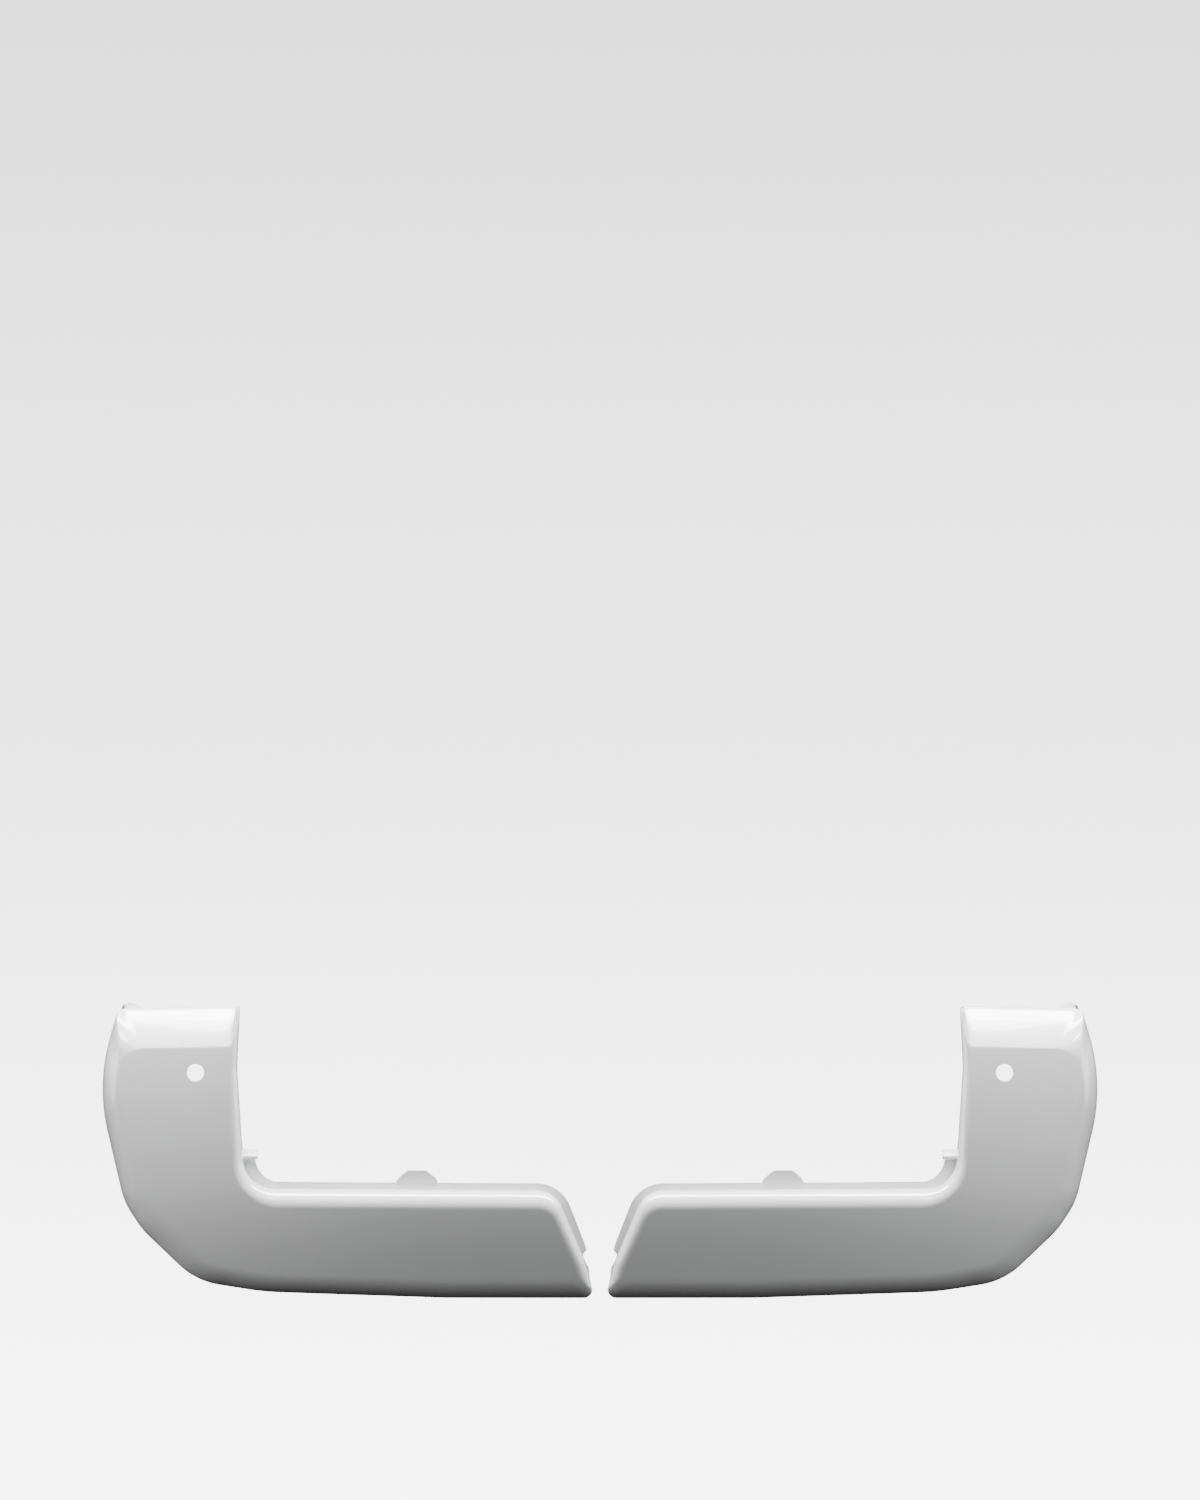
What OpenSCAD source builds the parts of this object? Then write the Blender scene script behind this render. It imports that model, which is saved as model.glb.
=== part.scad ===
// A pair of rear bumper corner covers for a pickup truck, seen from behind the
// vehicle.  Each cover is a thin moulded shell: a tall column at the corner of
// the vehicle, a low bar that runs towards the middle, and a wing that wraps
// round the side.  Foam tape runs inside hold it on the steel bumper, and each
// run is under a release liner until the cover is fitted.
//
// +X is to the right, +Z is up, and the shown face looks towards -Y.  X = 0 is
// midway between the covers, Z = 0 is their lowest edge, Y = 0 is mid-depth.

/* [Cover] */
// Width of one cover, from its inner end to the outside of its wing
cover_w = 686; // [596:5:836]
// Height of the column
cover_h = 408; // [340:2:500]
// Depth of the wing, measured back from the face at its own place
wing_depth = 200; // [140:5:260]
// Height at which the wing reaches its full depth
wing_rise = 170; // [100:5:220]
// Wall thickness of the moulding
wall = 3; // [2:0.1:4]
// Gap between the two covers as they are laid out
pair_gap = 22; // [8:1:60]

/* [Column] */
// Width of the column near its top
column_w = 190; // [155:5:230]
// Height of the sloped shoulder at the top of the column
shoulder_h = 55; // [44:1:66]
// Depth over which the shoulder slopes back
shoulder_depth = 40; // [32:1:50]
// Depth of the top edge behind the face
top_depth = 62; // [55:1:80]
// Corner radius of the face at the top of the wing
brow_radius = 36; // [29:1:44]
// Height of the small ear at the top of the wing
ear_h = 11; // [8:0.5:14]

/* [Bar] */
// Height of the bar at its inner end
bar_h = 151; // [125:1:182]
// Depth of the ledge along the top of the bar and down its inner end
ledge_depth = 45; // [38:1:56]
// Height of the upright lip behind the ledge
lip_h = 10; // [6:0.5:13]
// Distance that the inner end leans outwards from its foot to its top
end_lean = 52; // [40:1:64]
// Depth of the bottom wall
bottom_depth = 50; // [42:1:60]

/* [Rolled edges] */
// Radius of the roll along the bottom
bottom_roll = 26; // [21:1:32]
// Width of the roll at the side
side_roll = 32; // [26:1:40]
// Width of the roll at the top of the wing
brow_roll = 20; // [16:1:24]
// Radius of the roll along the top of the bar
bar_roll = 27; // [22:1:33]
// Radius of the roll down the inner end
end_roll = 18; // [14:1:22]
// Radius of the roll along the inside of the column
column_roll = 20; // [16:1:24]
// Radius of the fillet between the bar and the column
fillet_radius = 45; // [36:1:54]

/* [Crown] */
// Radius of the face's sweep across the vehicle
sweep_radius = 4500; // [3000:100:8000]
// Radius of the face's crown up and down
crown_radius = 2000; // [1500:100:4000]
// How far the face curls back towards its lower edge, below the bar's top
under_curl = 12; // [8:1:16]

/* [Sensor hole] */
// Radius of the parking sensor hole
sensor_r = 12.15; // [9:0.05:15]
// Distance of the sensor hole from the outside of the wing
sensor_from_side = 131; // [108:1:147]
// Distance of the sensor hole from the top of the column
sensor_from_top = 92; // [80:1:110]

/* [Locating tab and hook] */
// Distance of the locating tab from the inner end of the cover
tab_place = 245; // [150:1:330]
// Width of the locating tab at its foot
tab_w = 58; // [40:1:70]
// Height of the locating tab above the lip
tab_h = 16; // [10:1:20]
// Width of the hook where the bar meets the column
hook_w = 24; // [16:1:28]
// Height of the hook's sloped top
hook_h = 9; // [7:0.5:11]

/* [Tape and liners] */
// Width of the foam tape
tape_w = 12; // [8:0.5:15]
// Thickness of the foam tape
tape_t = 1.1; // [0.8:0.1:1.6]
// Distance of the tape from the rolled edge of the face
tape_margin = 6; // [4:0.5:9]
// Thickness of a release liner
liner_t = 0.2; // [0.1:0.05:0.4]
// How far a liner is wider than its tape, on each side
liner_over = 0.6; // [0.2:0.1:1]
// Length of a liner's pull tab
pull_tab = 14; // [8:1:18]

/* [Hidden] */
RUNS = ["shoulder", "column", "side", "sweep", "bar_lower", "bar_upper", "end"];

// clearances: the bond line under a tape, and the air under a liner
bond = 0.1;
liner_gap = 0.3;
// step at the root of the lip, so that its front face leans a little
lip_root = 0.3;
// the locating tab is this much thicker than the lip, on each side
tab_proud = 0.4;
sensor_fn = 96;

// steps round the roll and down the wall
ROLL_STEPS = 6;
WALL_STEPS = 3;

function mix(a, b, t) = a + (b - a) * t;
function ease(t) = t * t * (3 - 2 * t);
function unit(v) = v / norm(v);
function left_of(d) = [-d[1], d[0]];
function cross2(a, b) = a[0] * b[1] - a[1] * b[0];
function turned(v, a) = [v[0] * cos(a) - v[1] * sin(a), v[0] * sin(a) + v[1] * cos(a)];

// ---- the outline ----
// A section says how the shell is rolled and how deep it is at one place:
// [roll width, roll depth, wall depth, fullness of the roll].
BOTTOM = [bottom_roll, bottom_roll, bottom_depth, 2];
SIDE = [side_roll, side_roll * 4 / 3, wing_depth, 2];
BROW_SIDE = [brow_roll, brow_roll * 1.5, wing_depth, 2];
TOP = [shoulder_h, shoulder_depth, top_depth, 1.15];
COLUMN = [column_roll, column_roll, ledge_depth, 2];
// the column's roll is narrow at the top and widens down to the fillet
COLUMN_TOP = [column_roll * 0.4, column_roll * 0.6, ledge_depth, 2];
COLUMN_WAIST = (COLUMN_TOP * 3 + COLUMN) / 4;
BAR = [bar_roll, bar_roll, ledge_depth, 2];
END = [end_roll, end_roll, ledge_depth, 2];

// A corner of the outline: its place, its radius on the cover and on the face,
// the steps in its arc, the section and the lip's height before and after it,
// and the stations along the edge to the next corner, as [share, lip height].
function corner(place, radii, steps, before, after, lips, edge) =
    [place, radii, steps, before, after, lips, edge];
function bend(place, radii, steps, section, edge) =
    corner(place, radii, steps, section, section, [0, 0], edge);
function evenly(steps, lip) = [for (k = [1:1:steps - 1]) [k / steps, lip]];

// the bottom is flat, then rises a little to where it turns up to the side
bottom_flat = 203;
bottom_rise = 8;
turn_w = 227;
turn_start = [cover_w - turn_w, bottom_rise];
// stations along the bottom are no further apart than this, so that the tape
// follows the face's sweep; the bar's top has as many more as the bottom
bottom_step = 65;
BOTTOM_STEPS = ceil((turn_start[0] - bottom_flat) / bottom_step);
// rounding takes these off the corners at the foot and at the widest place
foot_loss = 3.6;
apex_loss = 9.4;
// the widest place is this far below the shoulder
apex_drop = 52;
foot = [-foot_loss, 0];
apex = [cover_w + apex_loss, cover_h - shoulder_h - apex_drop];
function on_turn(across, up) =
    [mix(turn_start[0], apex[0], across), mix(turn_start[1], apex[1], up)];
function turn_section(t) = mix(BOTTOM, SIDE, t);

// the column leans in a little above its waist, and the bar's top rises to it
column_x = cover_w - column_w;
bar_rise = 2;
brow_out = [cover_w - 22, cover_h - 4];
brow_in = [column_x - 3, cover_h];
waist = [column_x + 1, cover_h - shoulder_h - 30];
fillet_at = [column_x - 10, bar_h + bar_rise];
end_top = [end_lean, bar_h];
// the inner end is steeper below its knee, where the lip ends
knee = [9.5, 52];
// a low lug stands out between the knee and the foot
lug_h = 3.5;
// the lip's height where it meets the hook, and at the top and foot of the end
hook_lip = lip_h * 1.7;
end_lip_top = lip_h * 1.1;
end_lip_foot = lip_h * 0.85;
// share of the end's edge that the lip runs down, in this many steps
end_lip_run = 0.88;
END_STEPS = 5;

OUTLINE = [
    corner(foot, [12, 8], 4, END, BOTTOM, [0, 0], evenly(4, 0)),
    bend([bottom_flat, 0], [600, 600], 1, BOTTOM, evenly(BOTTOM_STEPS, 0)),
    bend(turn_start, [400, 400], 2, BOTTOM, []),
    bend(on_turn(0.405, 0.05), [105, 85], 4, turn_section(0.25), []),
    bend(on_turn(0.722, 0.293), [120, 80], 2, turn_section(0.6), []),
    bend(on_turn(0.833, 0.425), [110, 60], 3, turn_section(0.85), evenly(3, 0)),
    bend(apex, [260, 30], 3, SIDE, []),
    corner(brow_out, [12, brow_radius], 6, BROW_SIDE, TOP, [0, ear_h * 0.6],
        concat([[0.07, ear_h], [0.17, 0]], [for (k = [2:5]) [k / 6 + 0.02, 0]])),
    corner(brow_in, [6, 4], 4, TOP, COLUMN_TOP, [0, 0], []),
    bend(waist, [100, 100], 2, COLUMN_WAIST, [[0.24, 0], [0.48, 0], [0.72, 0], [0.92, 0], [0.96, hook_lip]]),
    corner(fillet_at, [fillet_radius, fillet_radius + 25], 10, COLUMN, BAR, [hook_lip, lip_h],
        evenly(BOTTOM_STEPS + 7, lip_h)),
    corner(end_top, [40, 25], 6, BAR, END, [lip_h, end_lip_top],
        concat([for (k = [1:END_STEPS])
            [end_lip_run * k / END_STEPS, mix(end_lip_top, end_lip_foot, k / END_STEPS)]],
            [[end_lip_run + 0.03, 0]])),
    bend(knee, [40, 8], 1, END, [[0.2, lug_h], [0.55, 0]])
];
N = len(OUTLINE);
// positions of the corners in the list
FOOT = 0;
TURN = 2;
APEX = 6;
BROW = 7;
WAIST = 9;
FILLET = 10;
END_TOP = 11;
KNEE = 12;
function at(i) = OUTLINE[(i + N) % N];
function arc_steps(i) = at(i)[2];
function edge_steps(i) = len(at(i)[6]) + 1;

// The face's own outline lies inside the cover's by the roll, and "extra" more.
function inward(i) = left_of(unit(at(i + 1)[0] - at(i)[0]));
function face_corner(i, extra) =
    let (n1 = inward(i - 1), n2 = inward(i), c = cross2(n1, n2))
    let (d1 = at(i)[3][0] + extra, d2 = at(i)[4][0] + extra)
    abs(c) < 0.25
        ? at(i)[0] + (n1 + n2) * (d1 + d2) / ((n1 + n2) * (n1 + n2))
        : at(i)[0] + [d1 * n2[1] - d2 * n1[1], d2 * n1[0] - d1 * n2[0]] / c;
function hollow(i) = cross2(inward(i - 1), inward(i)) < 0;
function face_radius(i, extra) = hollow(i) ? at(i)[1][1] + extra : max(at(i)[1][1] - extra, 4);

// A ring of stations, [place, inward normal], round a list of corners and radii.
function heading(corners, i) = unit(corners[(i + 1) % N] - corners[(i + N) % N]);
function turn_at(corners, i) =
    let (a = heading(corners, i - 1), b = heading(corners, i))
    atan2(cross2(a, b), a * b);
function reach(corners, radii, i) = radii[i % N] * tan(abs(turn_at(corners, i)) / 2);
function arc_stations(corners, radii, i) =
    let (a = heading(corners, i - 1), turn = turn_at(corners, i))
    let (start = corners[i] - a * reach(corners, radii, i))
    let (arm = left_of(a) * radii[i] * sign(turn), hub = start + arm)
    [for (k = [0:arc_steps(i)]) let (t = turn * k / arc_steps(i))
        [hub - turned(arm, t), turned(left_of(a), t)]];
function edge_stations(corners, radii, i) =
    let (b = heading(corners, i))
    let (from = corners[i] + b * reach(corners, radii, i))
    let (to = corners[(i + 1) % N] - b * reach(corners, radii, i + 1))
    [for (s = at(i)[6]) [mix(from, to, s[0]), left_of(b)]];
// the ring starts in the middle of the foot's arc
half_foot = arc_steps(FOOT) / 2;
function from_foot(list) = [for (k = [0:len(list) - 1]) list[(k + half_foot) % len(list)]];
function ring(corners, radii) = from_foot([for (i = [0:N - 1])
    each concat(arc_stations(corners, radii, i), edge_stations(corners, radii, i))]);
function face_ring(extra) =
    ring([for (i = [0:N - 1]) face_corner(i, extra)], [for (i = [0:N - 1]) face_radius(i, extra)]);

rim = ring([for (c = OUTLINE) c[0]], [for (c = OUTLINE) c[1][0]]);
face_edge = [for (s = face_ring(0)) s[0]];
sections = from_foot([for (i = [0:N - 1]) each concat(
    [for (k = [0:arc_steps(i)]) mix(at(i)[3], at(i)[4], ease(k / arc_steps(i)))],
    [for (s = at(i)[6]) mix(at(i)[4], at(i + 1)[3], ease(s[0]))])]);
lips = from_foot([for (i = [0:N - 1]) each concat(
    [for (k = [0:arc_steps(i)]) mix(at(i)[5][0], at(i)[5][1], pow(k / arc_steps(i), 2))],
    [for (s = at(i)[6]) s[1]])]);
STATIONS = len(rim);

// number of a corner's first station, and of its last
function first(i) = i == 0 ? -half_foot : last(i - 1) + edge_steps(i - 1);
function last(i) = first(i) + arc_steps(i);

// The wall deepens up the turn to make the wing, and the wing's rounded top
// edge runs in over the brow before the wall steps back to the top's depth.
wall_depths = [for (i = [0:STATIONS - 1])
    i > last(BROW) ? sections[i][2]
    : i > first(BROW)
        ? mix(wing_depth, top_depth, ease(max(0, 2 * (i - first(BROW)) / arc_steps(BROW) - 1)))
    : mix(bottom_depth, wing_depth, ease(min(1, rim[i][0][1] / wing_rise)))];
// the face's patch has this many steps along the cover and across it
ALONG = first(BROW) + arc_steps(BROW) / 2;
ACROSS = STATIONS / 2 - ALONG;

// ---- the surface ----
crown_z = 250;
function crown(p) = p[0] * p[0] / (2 * sweep_radius) + pow(p[1] - crown_z, 2) / (2 * crown_radius)
    + under_curl * pow(max(0, 1 - p[1] / bar_h), 2);
function lifted(p, depth) = [p[0], crown(p) + depth, p[1]];

// One station's section, from the face round the roll, down the wall, over the
// lip and back up inside: [share of the roll, inset, depth].
function profile(s, deep, lip) =
    let (power = 2 / s[3], lip_depth = deep - wall)
    concat(
        [for (k = [0:ROLL_STEPS]) let (a = 90 * k / ROLL_STEPS)
            [pow(sin(a), power), 0, s[1] * (1 - pow(cos(a), power))]],
        [for (k = [1:WALL_STEPS]) [1, 0, mix(s[1], lip_depth - lip_root, k / WALL_STEPS)]],
        [[1, -lip, lip_depth], [1, -lip, deep], [1, wall, deep]],
        [for (k = [WALL_STEPS - 1:-1:1]) [1, wall, mix(s[1], deep, k / WALL_STEPS)]],
        [for (k = [ROLL_STEPS:-1:0]) let (a = 90 * k / ROLL_STEPS)
            [pow(sin(a), power), wall, wall + (s[1] - wall) * (1 - pow(cos(a), power))]]);
profiles = [for (i = [0:STATIONS - 1]) profile(sections[i], wall_depths[i], lips[i])];
ROWS = len(profiles[0]);
function rim_point(row, i) =
    let (p = profiles[i][row], outer = rim[i][0] + rim[i][1] * p[1])
    lifted(mix(face_edge[i], outer, p[0]), p[2]);

// The face is a patch between the bar's top and column's inside, on one side,
// and the bottom and side on the other.
function low(i) = i;
function high(i) = 2 * ALONG + ACROSS - i;
function near(j) = (2 * ALONG + ACROSS + j) % STATIONS;
function far(j) = ALONG + ACROSS - j;
function bulge(side, j, v) =
    face_edge[side(j)] - mix(face_edge[side(0)], face_edge[side(ACROSS)], v);
function patch(i, j) =
    let (u = i / ALONG, v = j / ACROSS)
    mix(face_edge[high(i)], face_edge[low(i)], v)
        + bulge(function(k) near(k), j, v) * pow(1 - u, 4)
        + bulge(function(k) far(k), j, v) * pow(u, 4);
function patch_id(i, j, edge_row, base) =
    j == ACROSS ? edge_row * STATIONS + low(i)
    : j == 0 ? edge_row * STATIONS + high(i)
    : i == 0 ? edge_row * STATIONS + near(j)
    : i == ALONG ? edge_row * STATIONS + far(j)
    : base + (i - 1) * (ACROSS - 1) + j - 1;
function two(a, b, c, d) = [[a, b, c], [a, c, d]];
function flipped(faces) = [for (f = faces) [f[2], f[1], f[0]]];

skin_points = concat(
    [for (row = [0:ROWS - 1], i = [0:STATIONS - 1]) rim_point(row, i)],
    [for (depth = [0, wall], i = [1:ALONG - 1], j = [1:ACROSS - 1]) lifted(patch(i, j), depth)]);
function patch_faces(edge_row, base) = [for (i = [0:ALONG - 1], j = [0:ACROSS - 1])
    each two(patch_id(i, j, edge_row, base), patch_id(i + 1, j, edge_row, base),
        patch_id(i + 1, j + 1, edge_row, base), patch_id(i, j + 1, edge_row, base))];
skin_faces = concat(
    [for (row = [0:ROWS - 2], i = [0:STATIONS - 1]) let (next = (i + 1) % STATIONS)
        each two(row * STATIONS + i, row * STATIONS + next,
            (row + 1) * STATIONS + next, (row + 1) * STATIONS + i)],
    patch_faces(0, ROWS * STATIONS),
    flipped(patch_faces(ROWS - 1, ROWS * STATIONS + (ALONG - 1) * (ACROSS - 1))));

y_front = min([for (p = skin_points) p[1]]);
y_back = max([for (p = skin_points) p[1]]);

// Puts one cover in place: the right one as drawn, the left one mirrored.
module right() translate([pair_gap / 2, -(y_front + y_back) / 2, 0]) children();
module left() mirror([1, 0, 0]) right() children();

// ---- the moulding ----
sensor_at = [cover_w - sensor_from_side, cover_h - sensor_from_top];
module sensor_hole() {
    translate(lifted(sensor_at, wall / 2))
        rotate([0, 0, atan(sensor_at[0] / sweep_radius)])
        rotate([90 - atan((sensor_at[1] - crown_z) / crown_radius), 0, 0])
        cylinder(r = sensor_r, h = 12 * wall, center = true, $fn = sensor_fn);
}

// the tab lies flat against the lip, so it is turned by the face's sweep
tab_turn = atan(tab_place / sweep_radius);
tab_foot = bar_h + bar_rise + lip_h / 2;
tab_top = bar_h + bar_rise + lip_h + tab_h;
module locating_tab() {
    half = tab_w / 2;
    translate(lifted([tab_place, tab_foot], ledge_depth + tab_proud) - [0, 0, tab_foot])
        rotate([90, 0, tab_turn])
        linear_extrude(wall + 2 * tab_proud)
        polygon([
            [-half, tab_foot],
            [half, tab_foot],
            [half, tab_top - tab_h],
            [half * 0.93, tab_top - tab_h * 0.7],
            [half * 0.45, tab_top],
            [-half * 0.45, tab_top],
            [-half * 0.93, tab_top - tab_h * 0.7],
            [-half, tab_top - tab_h]]);
}

// the hook's sloped top faces forwards and up
hook_foot = 5;
hook_run = 14;
module corner_hook() {
    root = [mix(fillet_at[0], waist[0], 0.3), fillet_at[1] + fillet_radius + 1];
    translate(lifted(root, ledge_depth) - [hook_w - wall, 0, 0])
        rotate([90, 0, 90])
        linear_extrude(hook_w)
        polygon([
            [0, -hook_foot],
            [-hook_run, -hook_foot],
            [-hook_run, 0],
            [-wall, hook_h],
            [0, hook_h]]);
}

module skin() {
    color("whitesmoke") difference() {
        union() {
            polyhedron(points = skin_points, faces = skin_faces);
            locating_tab();
            corner_hook();
        }
        sensor_hole();
    }
}

// ---- tape runs and their liners ----
// Each run follows the face's edge from one station to another: [first, last,
// 1 where the liner's pull tab is at the last station, 0 at the first].
function run_span(run) =
    run == "bar_lower" ? [last(FOOT) + 1, first(TURN), 1]
    : run == "sweep" ? [first(TURN + 1), last(APEX - 1), 1]
    : run == "side" ? [last(APEX - 1) + 1, first(BROW), 0]
    : run == "shoulder" ? [last(BROW), first(BROW + 1), 0]
    : run == "column" ? [last(WAIST), first(FILLET), 1]
    : run == "bar_upper" ? [last(FILLET), first(END_TOP), 0]
    : [last(END_TOP), first(KNEE) - 1, 1];

function run_edge(run, extra) =
    let (span = run_span(run), places = face_ring(extra))
    [for (i = [span[0]:span[1]]) places[i][0]];

// adds the pull tab's length to one end of an edge
function with_pull_tab(edge, at_last, travel) =
    at_last == 1 ? concat(edge, [edge[len(edge) - 1] + travel]) : concat([edge[0] + travel], edge);
function pull_travel(run) =
    let (e = run_edge(run, tape_margin + tape_w / 2), n = len(e))
    run_span(run)[2] == 1 ? unit(e[n - 1] - e[n - 2]) * pull_tab : unit(e[0] - e[1]) * pull_tab;

// a flat strip between two edges, between two depths behind the face
module strip(outer, inner, y0, y1) {
    n = len(outer);
    points = [for (i = [0:n - 1]) each [
        lifted(outer[i], y0), lifted(inner[i], y0), lifted(inner[i], y1), lifted(outer[i], y1)]];
    sides = [for (i = [0:n - 2], k = [0:3]) let (m = (k + 1) % 4)
        each two(4 * i + k, 4 * i + m, 4 * i + 4 + m, 4 * i + 4 + k)];
    end = 4 * (n - 1);
    ends = concat(two(3, 2, 1, 0), two(end, end + 1, end + 2, end + 3));
    polyhedron(points = points, faces = concat(sides, ends));
}

module tape(run) {
    outer = run_edge(run, tape_margin);
    inner = run_edge(run, tape_margin + tape_w);
    color("dimgray") strip(outer, inner, wall + bond, wall + bond + tape_t);
}

module liner(run) {
    outer = run_edge(run, tape_margin - liner_over);
    inner = run_edge(run, tape_margin + tape_w + liner_over);
    travel = pull_travel(run);
    at_last = run_span(run)[2];
    y0 = wall + bond + tape_t + liner_gap;
    color("firebrick")
        strip(with_pull_tab(outer, at_last, travel), with_pull_tab(inner, at_last, travel),
            y0, y0 + liner_t);
}

left() skin();  // left_skin
left() tape("shoulder");  // left_shoulder_tape
left() tape("column");  // left_column_tape
left() tape("side");  // left_side_tape
left() tape("sweep");  // left_sweep_tape
left() tape("bar_lower");  // left_bar_lower_tape
left() tape("bar_upper");  // left_bar_upper_tape
left() tape("end");  // left_end_tape
left() liner("shoulder");  // left_shoulder_liner
left() liner("column");  // left_column_liner
left() liner("side");  // left_side_liner
left() liner("sweep");  // left_sweep_liner
left() liner("bar_lower");  // left_bar_lower_liner
left() liner("bar_upper");  // left_bar_upper_liner
left() liner("end");  // left_end_liner
right() skin();  // right_skin
right() tape("shoulder");  // right_shoulder_tape
right() tape("column");  // right_column_tape
right() tape("side");  // right_side_tape
right() tape("sweep");  // right_sweep_tape
right() tape("bar_lower");  // right_bar_lower_tape
right() tape("bar_upper");  // right_bar_upper_tape
right() tape("end");  // right_end_tape
right() liner("shoulder");  // right_shoulder_liner
right() liner("column");  // right_column_liner
right() liner("side");  // right_side_liner
right() liner("sweep");  // right_sweep_liner
right() liner("bar_lower");  // right_bar_lower_liner
right() liner("bar_upper");  // right_bar_upper_liner
right() liner("end");  // right_end_liner
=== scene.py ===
"""Looks for a pair of rear bumper corner covers: shells, foam tape, liners and studio.

Run it as a script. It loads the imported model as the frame, builds each piece with its
own operator, and leaves a scene that is ready to render.
"""
import math
from typing import NamedTuple

import bmesh
import bpy
import numpy as np
from bpy.props import FloatProperty, FloatVectorProperty, PointerProperty
from bpy.types import Operator, Panel, PropertyGroup
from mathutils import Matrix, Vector


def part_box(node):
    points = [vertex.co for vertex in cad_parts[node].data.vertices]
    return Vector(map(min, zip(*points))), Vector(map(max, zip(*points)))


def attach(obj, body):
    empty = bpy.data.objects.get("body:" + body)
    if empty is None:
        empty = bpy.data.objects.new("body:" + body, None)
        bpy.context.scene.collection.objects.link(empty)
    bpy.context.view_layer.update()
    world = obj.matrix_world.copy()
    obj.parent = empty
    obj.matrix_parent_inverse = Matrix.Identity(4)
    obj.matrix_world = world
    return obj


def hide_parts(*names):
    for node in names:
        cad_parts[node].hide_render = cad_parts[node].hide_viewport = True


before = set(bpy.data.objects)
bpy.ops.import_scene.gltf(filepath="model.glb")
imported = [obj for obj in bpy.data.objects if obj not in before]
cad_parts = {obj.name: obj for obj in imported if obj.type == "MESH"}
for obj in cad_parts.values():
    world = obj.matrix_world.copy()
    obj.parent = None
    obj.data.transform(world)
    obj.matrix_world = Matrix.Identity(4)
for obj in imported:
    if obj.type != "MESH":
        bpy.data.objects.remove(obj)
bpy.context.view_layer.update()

bl_info = {
    "name": "Bumper Corner Covers",
    "version": (1, 0, 0),
    "blender": (4, 5, 0),
    "location": "View3D > Sidebar > Covers",
    "description": "Builds a pair of rear bumper corner covers on their packed frame",
    "category": "Add Mesh",
}

MM = 0.001
# the view's height is measured at this depth, between the faces and the widest places
VIEW_PLANE = -0.065
SIDES = {"left": -1, "right": 1}
RUNS = ("shoulder", "column", "side", "sweep", "bar_lower", "bar_upper", "end")


# ---- sizes in millimetres, the same as the part's source ----
COVER_W, COVER_H = 686.0, 408.0
WING_DEPTH, WING_RISE = 200.0, 170.0
WALL = 3.0
PAIR_GAP = 22.0
COLUMN_W = 190.0
SHOULDER_H, SHOULDER_DEPTH, TOP_DEPTH = 55.0, 40.0, 62.0
BROW_RADIUS = 36.0
EAR_H = 11.0
BAR_H = 151.0
LEDGE_DEPTH = 45.0
LIP_H = 10.0
END_LEAN = 52.0
FOOT_LOSS, KNEE_AT, LUG_H = 3.6, (9.5, 52), 3.5
END_LIP_SPAN, END_LIP_STEPS = 0.88, 5
APEX_LOSS, APEX_DROP = 9.4, 52
BOTTOM_DEPTH = 50.0
SIDE_ROLL, BROW_ROLL, COLUMN_ROLL = 32.0, 20.0, 20.0
SWEEP_RADIUS, CROWN_RADIUS, CROWN_Z, UNDER_CURL = 4500.0, 2000.0, 250.0, 12.0
SENSOR_R, SENSOR_FROM_SIDE, SENSOR_FROM_TOP = 12.15, 131.0, 92.0
TAB_PLACE, TAB_W, TAB_H, TAB_PROUD = 245.0, 58.0, 16.0, 0.4
HOOK_W, HOOK_H, HOOK_FOOT, HOOK_RUN = 24.0, 9.0, 5.0, 14.0
TAPE_W, TAPE_T, TAPE_MARGIN, BOND = 12.0, 1.1, 6.0, 0.1
LINER_T, LINER_OVER, LINER_GAP, PULL_TAB = 0.2, 0.6, 0.3, 14.0
LIP_ROOT = 0.3
FILLET_RADIUS = 45.0

# how many times finer the looks follow the outline and the roll than the frame does
DETAIL = 4
ROLL_ROWS = 20
# shares of the flat wall that have a row of their own, on its way to a turn
WALL_MARKS = (0.3, 0.6, 0.85, 0.97)
# edges sharper than this stay creased
CREASE = math.radians(60)
# strength of the backdrop's own light
BACKDROP_GLOW = 7.2


class Section(NamedTuple):
    """How the shell is rolled and how deep it is at one place."""
    roll_w: float
    roll_d: float
    wall_d: float
    fullness: float

    def toward(self, other, t):
        return Section(*(a + (b - a) * t for a, b in zip(self, other)))


BOTTOM = Section(26, 26, BOTTOM_DEPTH, 2)
SIDE = Section(SIDE_ROLL, SIDE_ROLL * 4 / 3, WING_DEPTH, 2)
BROW_SIDE = Section(BROW_ROLL, BROW_ROLL * 1.5, WING_DEPTH, 2)
TOP = Section(SHOULDER_H, SHOULDER_DEPTH, TOP_DEPTH, 1.15)
COLUMN = Section(COLUMN_ROLL, COLUMN_ROLL, LEDGE_DEPTH, 2)
COLUMN_TOP = Section(COLUMN_ROLL * 0.4, COLUMN_ROLL * 0.6, LEDGE_DEPTH, 2)
BAR = Section(27, 27, LEDGE_DEPTH, 2)
END = Section(18, 18, LEDGE_DEPTH, 2)


class Corner(NamedTuple):
    """A corner of the outline: its radius on the cover and on the face, the steps in
    its arc, the section and the lip before and after it, and the marks along the edge
    to the next corner, as (share, lip height)."""
    place: tuple
    radii: tuple
    steps: int
    before: Section
    after: Section
    lips: tuple
    edge: tuple


def bend(place, radii, steps, section, edge=()):
    return Corner(place, radii, steps, section, section, (0, 0), tuple(edge))


def evenly(steps, lip):
    return tuple((k / steps, lip) for k in range(1, steps))


def end_lip():
    """The lip down the inner end, which sinks a little and then stops above the knee."""
    sinking = [(END_LIP_SPAN * k / END_LIP_STEPS, LIP_H * (1.1 - 0.25 * k / END_LIP_STEPS))
               for k in range(1, END_LIP_STEPS + 1)]
    return (*sinking, (END_LIP_SPAN + 0.03, 0))


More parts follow.
